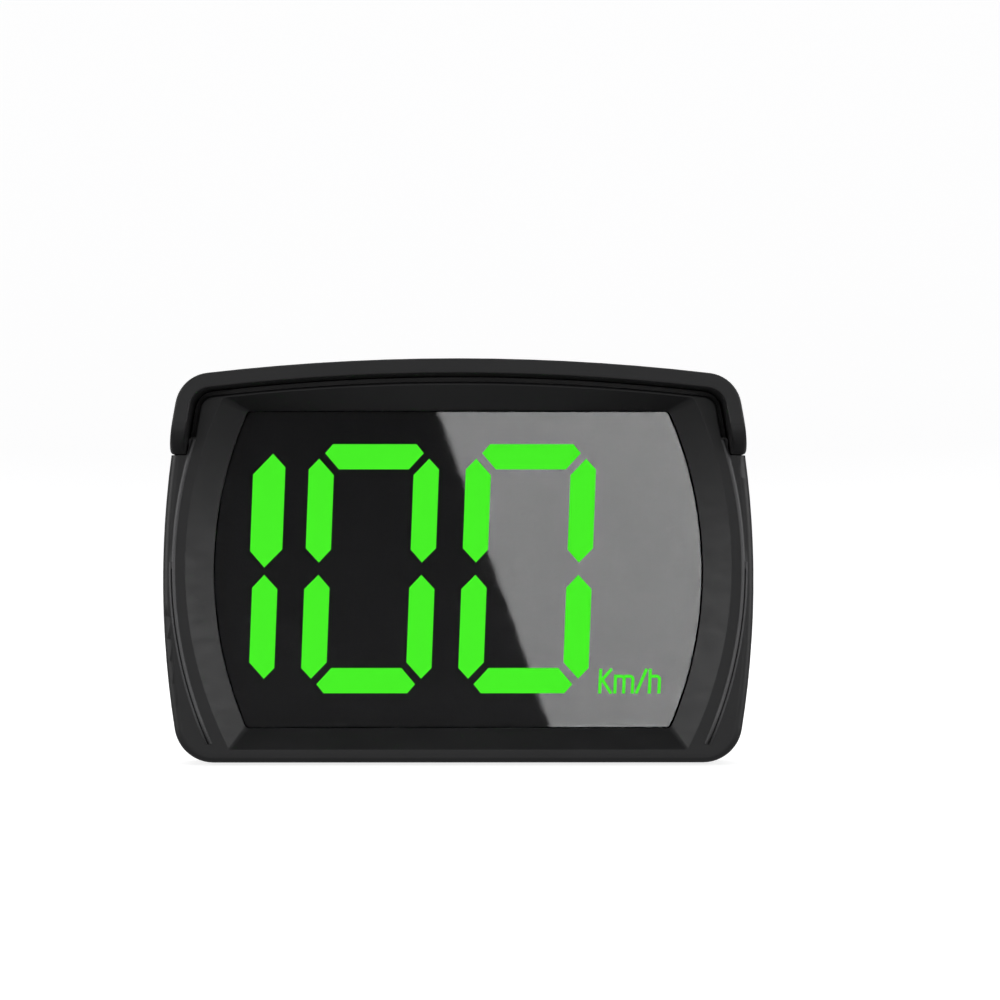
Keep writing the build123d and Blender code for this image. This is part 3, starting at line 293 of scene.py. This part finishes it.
def metal(name, colour, rough):
    """Plated or machined metal with fine directional scratches and dull spots."""
    mat, tree, principled, coords = new_material(name)
    principled.inputs["Metallic"].default_value = 1.0
    dull = noise(tree, coords, 2.5 * MM, detail=4.0)
    dark = tuple(0.8 * c for c in colour)
    put(tree, principled.inputs["Base Color"], blend_colour(tree, dull, dark, colour))
    scratch = noise(tree, coords, 0.8 * MM, detail=4.0, stretch=(1.0, 12.0, 12.0))
    put(tree, principled.inputs["Roughness"], vary(tree, scratch, rough, rough + 0.15))
    rounded, _ = rounded_edges(tree, 0.08 * MM)
    put(tree, principled.inputs["Normal"], bump(tree, scratch, 2 * MICRON, 0.5, rounded))
    return mat


def solder_mask(name):
    """Green board with copper tracks under the mask and the weave of its glass cloth."""
    mat, tree, principled, coords = new_material(name)
    cells = tree.nodes.new("ShaderNodeTexBrick")
    mapping = tree.nodes.new("ShaderNodeMapping")
    mapping.inputs["Rotation"].default_value = (math.radians(90), 0.0, 0.0)
    put(tree, mapping.inputs["Vector"], coords)
    put(tree, cells.inputs["Vector"], mapping.outputs[0])
    cells.inputs["Scale"].default_value = 1.0
    cells.inputs["Brick Width"].default_value = 5.3 * MM
    cells.inputs["Row Height"].default_value = 0.9 * MM
    cells.inputs["Mortar Size"].default_value = 0.16 * MM
    tracks = cells.outputs["Fac"]
    weave = noise(tree, coords, 0.35 * MM, detail=1.0)
    plain = blend_colour(tree, weave, (0.004, 0.045, 0.014), (0.006, 0.058, 0.018))
    colour = blend_colour(tree, tracks, plain, (0.012, 0.105, 0.030))
    put(tree, principled.inputs["Base Color"], colour)
    put(tree, principled.inputs["Roughness"], vary(tree, weave, 0.25, 0.4))
    put(tree, principled.inputs["Normal"], bump(tree, tracks, 12 * MICRON, 0.8))
    return mat


def rubbery(name, colour, pores=0.3 * MM, rough=0.75):
    """Foam tape or soft gel: fine pores, a matte bloom and a faint sheen."""
    mat, tree, principled, coords = new_material(name)
    pore = noise(tree, coords, pores, detail=3.0)
    bloom = noise(tree, coords, 3 * MM, detail=4.0)
    bloomed = remap(tree, bloom, 0.45, 0.8, 0.0, 0.6)
    pale = tuple(1.6 * c + 0.01 for c in colour)
    put(tree, principled.inputs["Base Color"], blend_colour(tree, bloomed, colour, pale))
    put(tree, principled.inputs["Roughness"], vary(tree, pore, rough - 0.08, rough + 0.08))
    principled.inputs["Sheen Weight"].default_value = 0.15
    put(tree, principled.inputs["Normal"], bump(tree, pore, 20 * MICRON, 0.7))
    return mat


def pouch_foil(name):
    """Laminated pouch foil with a soft orange peel."""
    mat, tree, principled, coords = new_material(name)
    principled.inputs["Metallic"].default_value = 0.9
    peel = noise(tree, coords, 1.8 * MM, detail=3.0)
    colour = blend_colour(tree, peel, (0.5, 0.51, 0.53), (0.66, 0.67, 0.69))
    put(tree, principled.inputs["Base Color"], colour)
    put(tree, principled.inputs["Roughness"], vary(tree, peel, 0.28, 0.42))
    put(tree, principled.inputs["Normal"], bump(tree, peel, 60 * MICRON, 0.6))
    return mat


def stripes(tree, value, pitch, offset, width):
    """1 on lines of the given width, one each pitch along value."""
    shifted = math_node(tree, "ADD", value, 100 * pitch + offset)
    beyond = math_node(tree, "MODULO", shifted, pitch)
    return math_node(tree, "LESS_THAN", beyond, width)


def silicon(name):
    """A dark blue cell crossed by silver fingers and wider bus bars."""
    mat, tree, principled, coords = new_material(name)
    x, _, z = separate(tree, coords)
    grain = noise(tree, coords, 1.6 * MM, detail=1.0, stretch=(1.0, 1.0, 0.4))
    dark, light = (0.004, 0.008, 0.030), (0.009, 0.016, 0.055)
    blue = blend_colour(tree, contrast(tree, grain), dark, light)
    fingers = stripes(tree, z, 0.9 * MM, 0.0, 0.08 * MM)
    bars = stripes(tree, x, 8.5 * MM, 4.55 * MM, 0.6 * MM)
    silver = math_node(tree, "MAXIMUM", fingers, bars)
    colour = blend_colour(tree, silver, blue, (0.5, 0.51, 0.52))
    put(tree, principled.inputs["Base Color"], colour)
    put(tree, principled.inputs["Metallic"], product(tree, silver, 0.8))
    put(tree, principled.inputs["Roughness"], remap(tree, silver, 0.0, 1.0, 0.22, 0.4))
    put(tree, principled.inputs["Normal"], bump(tree, silver, 6 * MICRON, 0.6))
    return mat


def clear_resin(name):
    """Poured epoxy: clear, glossy, with a slow ripple on its face."""
    mat, tree, principled, coords = new_material(name)
    ripple = noise(tree, coords, 6 * MM)
    colour = blend_colour(tree, ripple, (0.93, 0.95, 0.97), (0.97, 0.98, 0.99))
    put(tree, principled.inputs["Base Color"], colour)
    principled.inputs["Transmission Weight"].default_value = 1.0
    principled.inputs["IOR"].default_value = 1.52
    put(tree, principled.inputs["Roughness"], vary(tree, ripple, 0.02, 0.06))
    put(tree, principled.inputs["Normal"], bump(tree, ripple, 15 * MICRON, 0.5))
    return mat


def ceramic(name, dark, light, rough):
    """Fired ceramic with fine specks."""
    mat, tree, principled, coords = new_material(name)
    speck = noise(tree, coords, 0.3 * MM, detail=3.0)
    colour = blend_colour(tree, contrast(tree, speck), dark, light)
    put(tree, principled.inputs["Base Color"], colour)
    put(tree, principled.inputs["Roughness"], vary(tree, speck, rough - 0.05, rough + 0.05))
    put(tree, principled.inputs["Normal"], bump(tree, speck, 8 * MICRON, 0.5))
    return mat


def insulated_wire(name, colour):
    """Silicone insulation, slightly waxy, with faint drag marks along it."""
    mat, tree, principled, coords = new_material(name)
    drag = noise(tree, coords, 0.5 * MM, detail=3.0, stretch=(1.0, 1.0, 0.2))
    dragged = blend_colour(tree, drag, colour, tuple(0.7 * c for c in colour))
    put(tree, principled.inputs["Base Color"], dragged)
    put(tree, principled.inputs["Roughness"], vary(tree, drag, 0.4, 0.55))
    put(tree, principled.inputs["Normal"], bump(tree, drag, 10 * MICRON, 0.5))
    return mat


# The darker and the lighter shade of each material, in linear colour, then its roughness
CASE = ((0.0125, 0.0125, 0.0130), (0.0150, 0.0150, 0.0155), 0.42)
BUTTON = ((0.017, 0.017, 0.018), (0.020, 0.020, 0.021), 0.5)
CHIP = ((0.015, 0.015, 0.016), (0.02, 0.02, 0.021), 0.55)
NYLON = ((0.60, 0.58, 0.52), (0.66, 0.64, 0.58), 0.45)
LED_RESIN = ((0.62, 0.60, 0.45), (0.70, 0.68, 0.52), 0.35)
FIBREBOARD = ((0.012, 0.012, 0.014), (0.018, 0.018, 0.02), 0.5)
CAPACITOR = ((0.22, 0.14, 0.07), (0.32, 0.21, 0.11), 0.45)
ANTENNA = ((0.50, 0.43, 0.32), (0.60, 0.52, 0.40), 0.5)
GREEN = (0.067, 0.888, 0.022)
GREEN_GLOW = 1.12

case_plastic = moulded_plastic("case_plastic", *CASE)
front_plastic = moulded_plastic("front_plastic", *CASE, bead_highlights=True)
button_plastic = moulded_plastic("button_plastic", *BUTTON)
chip_plastic = moulded_plastic("chip_plastic", *CHIP, grain=8 * MICRON)
screen_black = glossy_plastic("screen_black", (0.0055, 0.0055, 0.006), rough=0.01, spread=0.01)
nylon = moulded_plastic("nylon", *NYLON, edge_wear_and_highlight=0.0)
led_resin = moulded_plastic("led_resin", *LED_RESIN, edge_wear_and_highlight=0.0)
smoked = smoked_acrylic("smoked_acrylic")
green_light = glowing("green_light", GREEN, GREEN_GLOW)
steel_black = metal("black_zinc", (0.10, 0.10, 0.105), 0.3)
plated = metal("plated_steel", (0.62, 0.62, 0.63), 0.22)
ground_steel = metal("ground_steel", (0.56, 0.56, 0.57), 0.18)
foam_tape = rubbery("foam_tape", (0.012, 0.012, 0.013))
gel = rubbery("gel", (0.014, 0.014, 0.015), pores=0.6 * MM, rough=0.4)
board_green = solder_mask("solder_mask")
foil = pouch_foil("pouch_foil")
cell_blue = silicon("silicon")
resin = clear_resin("clear_resin")
fibreboard = moulded_plastic("fibreboard", *FIBREBOARD)
capacitor_ceramic = ceramic("capacitor_ceramic", *CAPACITOR)
antenna_ceramic = ceramic("antenna_ceramic", *ANTENNA)
red_wire = insulated_wire("red_wire", (0.45, 0.012, 0.01))

FINISHES = {
    "front_case": front_plastic,
    "rear_case": case_plastic,
    "foot_plate": case_plastic,
    "mode_button": button_plastic,
    "case_screws": steel_black,
    "board_screws": steel_black,
    "window": smoked,
    "window_tape": foam_tape,
    "display_block": screen_black,
    "lit_segments": green_light,
    "dark_segments": screen_black,
    "unit_legend": green_light,
    "leds": led_resin,
    "circuit_board": board_green,
    "chips": chip_plastic,
    "passives": capacitor_ceramic,
    "gps_shield": plated,
    "gps_antenna": antenna_ceramic,
    "battery": foil,
    "battery_tape": foam_tape,
    "battery_leads": red_wire,
    "battery_plug": nylon,
    "buzzer": chip_plastic,
    "usb_shell": plated,
    "usb_tongue": chip_plastic,
    "switch_body": chip_plastic,
    "switch_plunger": nylon,
    "solar_tape": foam_tape,
    "solar_board": fibreboard,
    "solar_cells": cell_blue,
    "solar_cover": resin,
    "solar_leads": red_wire,
    "hinge_pin": ground_steel,
    "friction_washers": ground_steel,
}
for node, finish in FINISHES.items():
    nodes[node].data.materials.clear()
    nodes[node].data.materials.append(finish)


# ---- Gel pad under the foot ----

PAD_CORNER = 4 * MM  # radius of the pad's corners
PAD_BULGE = 0.35 * MM  # how far its sides bulge
PAD_STEPS = 96  # points round the pad
# Up the pad's side: the share of the bulge, and the height from -1 at the bottom to 1 at the top
PAD_RINGS = (
    (0.0, -1.0),
    (0.35, -0.98),
    (0.8, -0.7),
    (1.0, -0.2),
    (1.0, 0.25),
    (0.75, 0.75),
    (0.55, 1.0),
)


def pad_outline(half, inset, angle):
    """A point of the pad's rounded outline, drawn in by inset."""
    direction = Vector((math.cos(angle), math.sin(angle)))
    core = Vector((half.x - PAD_CORNER, half.y - PAD_CORNER))
    radius = PAD_CORNER - inset
    reach = core + Vector((radius, radius))
    scale = 1.0 / max(abs(direction.x) / reach.x, abs(direction.y) / reach.y)
    point = direction * scale
    over = Vector((max(abs(point.x) - core.x, 0.0), max(abs(point.y) - core.y, 0.0)))
    if over.length > radius:
        over *= radius / over.length
    return Vector(
        (
            math.copysign(min(abs(point.x), core.x) + over.x, point.x),
            math.copysign(min(abs(point.y), core.y) + over.y, point.y),
        )
    )


def gel_pad():
    """A soft pad with bulging sides, laid in the space of its CAD solid."""
    low, high = (Vector(corner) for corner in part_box("foot_pad"))
    centre = (low + high) / 2
    half = (high - low) / 2
    mesh = bmesh.new()
    loops = []
    for out, level in PAD_RINGS:
        inset = PAD_BULGE * (1.0 - out)
        height = centre.z + level * half.z
        loop = []
        for step in range(PAD_STEPS):
            point = pad_outline(half, inset, 2 * math.pi * step / PAD_STEPS)
            loop.append(mesh.verts.new((centre.x + point.x, centre.y + point.y, height)))
        loops.append(loop)
    for lower, upper in zip(loops, loops[1:]):
        for step in range(PAD_STEPS):
            after = (step + 1) % PAD_STEPS
            mesh.faces.new((lower[step], lower[after], upper[after], upper[step]))
    mesh.faces.new(list(reversed(loops[0])))
    mesh.faces.new(loops[-1])
    data = bpy.data.meshes.new("gel_pad")
    mesh.to_mesh(data)
    mesh.free()
    thing = bpy.data.objects.new("gel_pad", data)
    scene.collection.objects.link(thing)
    data.materials.append(gel)
    data.shade_smooth()
    return thing


pad = gel_pad()
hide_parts("foot_pad")
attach(pad, "foot")


# ---- Floor and backdrop ----

FLOOR_DROP = 0.05 * MM  # gap that keeps the floor off the part's underside
FLOOR_HOLE, FLOOR_RADIUS = 0.0005, 1.1
FLOOR_RINGS = (FLOOR_HOLE, 0.05, 0.3, FLOOR_RADIUS)
COVE_RADIUS, COVE_STEPS = 0.5, 12
WALL_HEIGHT = 1.6
STAGE_STEPS = 96
PAPER_GREY = 0.55
PAPER_GLOW = 0.8


def stage_material(name, grey, glow):
    """Matte paper with a faint mottling."""
    mat, tree, principled, coords = new_material(name)
    mottle = noise(tree, coords, 60 * MM, detail=3.0)
    shade, tint = (grey, grey, grey), (grey + 0.01, grey + 0.01, grey + 0.01)
    put(tree, principled.inputs["Base Color"], blend_colour(tree, mottle, shade, tint))
    principled.inputs["Roughness"].default_value = 0.9
    principled.inputs["Specular IOR Level"].default_value = 0.1
    put(tree, principled.inputs["Emission Color"], (1.0, 1.0, 1.0))
    principled.inputs["Emission Strength"].default_value = glow
    return mat


def revolve(name, profile):
    """A surface of revolution about the vertical, from (radius, height) points."""
    mesh = bmesh.new()
    angles = [2 * math.pi * step / STAGE_STEPS for step in range(STAGE_STEPS)]
    rings = []
    for radius, height in profile:
        ring = []
        for angle in angles:
            place = (radius * math.cos(angle), radius * math.sin(angle), height)
            ring.append(mesh.verts.new(place))
        rings.append(ring)
    for inner, outer in zip(rings, rings[1:]):
        for step in range(STAGE_STEPS):
            after = (step + 1) % STAGE_STEPS
            mesh.faces.new((inner[step], outer[step], outer[after], inner[after]))
    data = bpy.data.meshes.new(name)
    mesh.to_mesh(data)
    mesh.free()
    data.shade_smooth()
    thing = bpy.data.objects.new(name, data)
    scene.collection.objects.link(thing)
    return thing


floor_z = cad_box[0][2] - FLOOR_DROP
floor = revolve("floor", [(radius, floor_z) for radius in FLOOR_RINGS])
wall_profile = []
for step in range(COVE_STEPS + 1):
    angle = math.pi / 2 * step / COVE_STEPS
    radius = FLOOR_RADIUS + COVE_RADIUS * math.sin(angle)
    wall_profile.append((radius, floor_z + COVE_RADIUS * (1 - math.cos(angle))))
wall_profile.append((FLOOR_RADIUS + COVE_RADIUS, floor_z + WALL_HEIGHT))
wall = revolve("backdrop", wall_profile)
paper = stage_material("paper", PAPER_GREY, PAPER_GLOW)
for thing in (floor, wall):
    thing.data.materials.append(paper)
    thing.visible_diffuse = False
    thing.visible_glossy = False
    thing.visible_transmission = False
# The light thrown up by the pale floor stands below it, so the floor casts no shadow
floor.visible_shadow = False


# ---- Lights ----

# Name, place, width and height in metres, and power in watts
STUDIO_LIGHTS = (
    ("left_light", (-0.85, -0.22, 0.25), 0.6, 0.7, 2.6),
    ("right_light", (0.85, -0.22, 0.25), 0.6, 0.7, 2.6),
    ("high_light", (0.0, -0.7, 0.8), 0.8, 0.4, 1.3),
    ("bounce_light", (0.0, -0.6, -0.4), 0.8, 0.4, 0.42),
    ("low_light_left", (-0.32, -0.8, 0.04), 0.36, 0.06, 0.38),
    ("low_light_right", (0.32, -0.8, 0.04), 0.36, 0.06, 0.38),
    ("rear_light", (0.0, 0.9, 0.7), 0.9, 0.6, 6.0),
)
ROOM_COLOUR = (0.9, 0.9, 0.92, 1.0)
ROOM_STRENGTH = 0.26


def softbox(name, place, width, height, power):
    """A rectangular area light that faces the middle of the part."""
    light = bpy.data.lights.new(name, "AREA")
    light.shape = "RECTANGLE"
    light.size = width
    light.size_y = height
    light.energy = power
    lamp = bpy.data.objects.new(name, light)
    scene.collection.objects.link(lamp)
    lamp.location = place
    aim = middle - Vector(place)
    lamp.rotation_euler = aim.to_track_quat("-Z", "Y").to_euler()


middle = (Vector(cad_box[0]) + Vector(cad_box[1])) / 2
for name, place, width, height, power in STUDIO_LIGHTS:
    softbox(name, place, width, height, power)

world = bpy.data.worlds.new("studio")
world.use_nodes = True
scene.world = world
room = world.node_tree.nodes["Background"]
room.inputs["Color"].default_value = ROOM_COLOUR
room.inputs["Strength"].default_value = ROOM_STRENGTH


# ---- The reflection in the screen ----

VIEW_DISTANCE = 0.600  # from the camera to the screen
VIEW_HEIGHT = 0.0284
SCREEN_Y = -0.0268  # the glossy face behind the window
CARD_DISTANCE = 2 * VIEW_DISTANCE
CARD_HALF = 0.4
# Seen in the screen, the card is as large as if it stood that far behind it
CARD_SCALE = (VIEW_DISTANCE + CARD_DISTANCE) / VIEW_DISTANCE
EDGE_SLOPE = 0.3533  # how far the bright part's edge leans, across per unit up
EDGE_X = 0.0047 * CARD_SCALE
EDGE_BLUR = 0.9 * MM
EDGE_RAGGED = 2 * MM
CARD_GLOW = 8.2
GLOW_ACROSS = (0.0, 60 * MM * CARD_SCALE, 0.92, 1.06)  # from the edge, and from low to high
GLOW_UPWARD = (-20 * MM * CARD_SCALE, 20 * MM * CARD_SCALE, 0.93, 1.04)
DIM_UPWARD = (-20 * MM * CARD_SCALE, 20 * MM * CARD_SCALE, 0.34, 0.16)


def card_material():
    """Glowing paper: a dim room at the left, and a bright wall past a slanted edge."""
    mat = bpy.data.materials.new("reflected_studio")
    mat.use_nodes = True
    tree = mat.node_tree
    tree.nodes.clear()
    coords = tree.nodes.new("ShaderNodeTexCoord").outputs["Object"]
    x, _, z = separate(tree, coords)
    ragged = noise(tree, coords, 6 * MM, detail=3.0)
    height = math_node(tree, "SUBTRACT", z, VIEW_HEIGHT)
    edge = math_node(tree, "ADD", product(tree, height, -EDGE_SLOPE), EDGE_X)
    past = math_node(tree, "SUBTRACT", x, edge)
    wobble = product(tree, math_node(tree, "SUBTRACT", ragged, 0.5), EDGE_RAGGED)
    past = math_node(tree, "ADD", past, wobble)
    bright = remap(tree, past, -EDGE_BLUR, EDGE_BLUR, 0.0, 1.0)
    fade = product(tree, remap(tree, past, *GLOW_ACROSS), remap(tree, height, *GLOW_UPWARD))
    strength = product(tree, product(tree, bright, fade), CARD_GLOW)
    dim_room = remap(tree, height, *DIM_UPWARD)
    emission = tree.nodes.new("ShaderNodeEmission")
    put(tree, emission.inputs["Strength"], math_node(tree, "ADD", strength, dim_room))
    output = tree.nodes.new("ShaderNodeOutputMaterial")
    put(tree, output.inputs["Surface"], emission.outputs[0])
    return mat


def reflected_studio():
    """A card behind the camera that only the screen mirrors."""
    y = SCREEN_Y - CARD_DISTANCE
    left, right = -CARD_HALF, CARD_HALF
    low, high = VIEW_HEIGHT - CARD_HALF, VIEW_HEIGHT + CARD_HALF
    corners = [(left, y, low), (right, y, low), (right, y, high), (left, y, high)]
    data = bpy.data.meshes.new("reflected_studio")
    data.from_pydata(corners, [], [(0, 1, 2, 3)])
    data.materials.append(card_material())
    thing = bpy.data.objects.new("reflected_studio", data)
    scene.collection.objects.link(thing)
    thing.visible_camera = False
    thing.visible_diffuse = False
    thing.visible_glossy = False
    thing.visible_shadow = False
    thing.visible_volume_scatter = False
    return thing


reflected_studio()


# ---- Camera, straight on to the display ----

SENSOR_WIDTH = 36.0
LENS = 153.67
# How far right of and above the display the camera aims, as shares of the picture's width
AIM_RIGHT = 0.0415
AIM_UP = 0.061
NEAREST = 0.01

camera_data = bpy.data.cameras.new("camera")
camera_data.sensor_width = SENSOR_WIDTH
camera_data.lens = LENS
camera_data.clip_start = NEAREST
camera = bpy.data.objects.new("camera", camera_data)
scene.collection.objects.link(camera)
camera.location = (0.0, SCREEN_Y - VIEW_DISTANCE, VIEW_HEIGHT)
turn_right = math.atan(AIM_RIGHT * SENSOR_WIDTH / LENS)
tilt_up = math.atan(AIM_UP * SENSOR_WIDTH / LENS)
camera.rotation_euler = (math.pi / 2 + tilt_up, 0.0, -turn_right)
scene.camera = camera

bpy.context.view_layer.update()
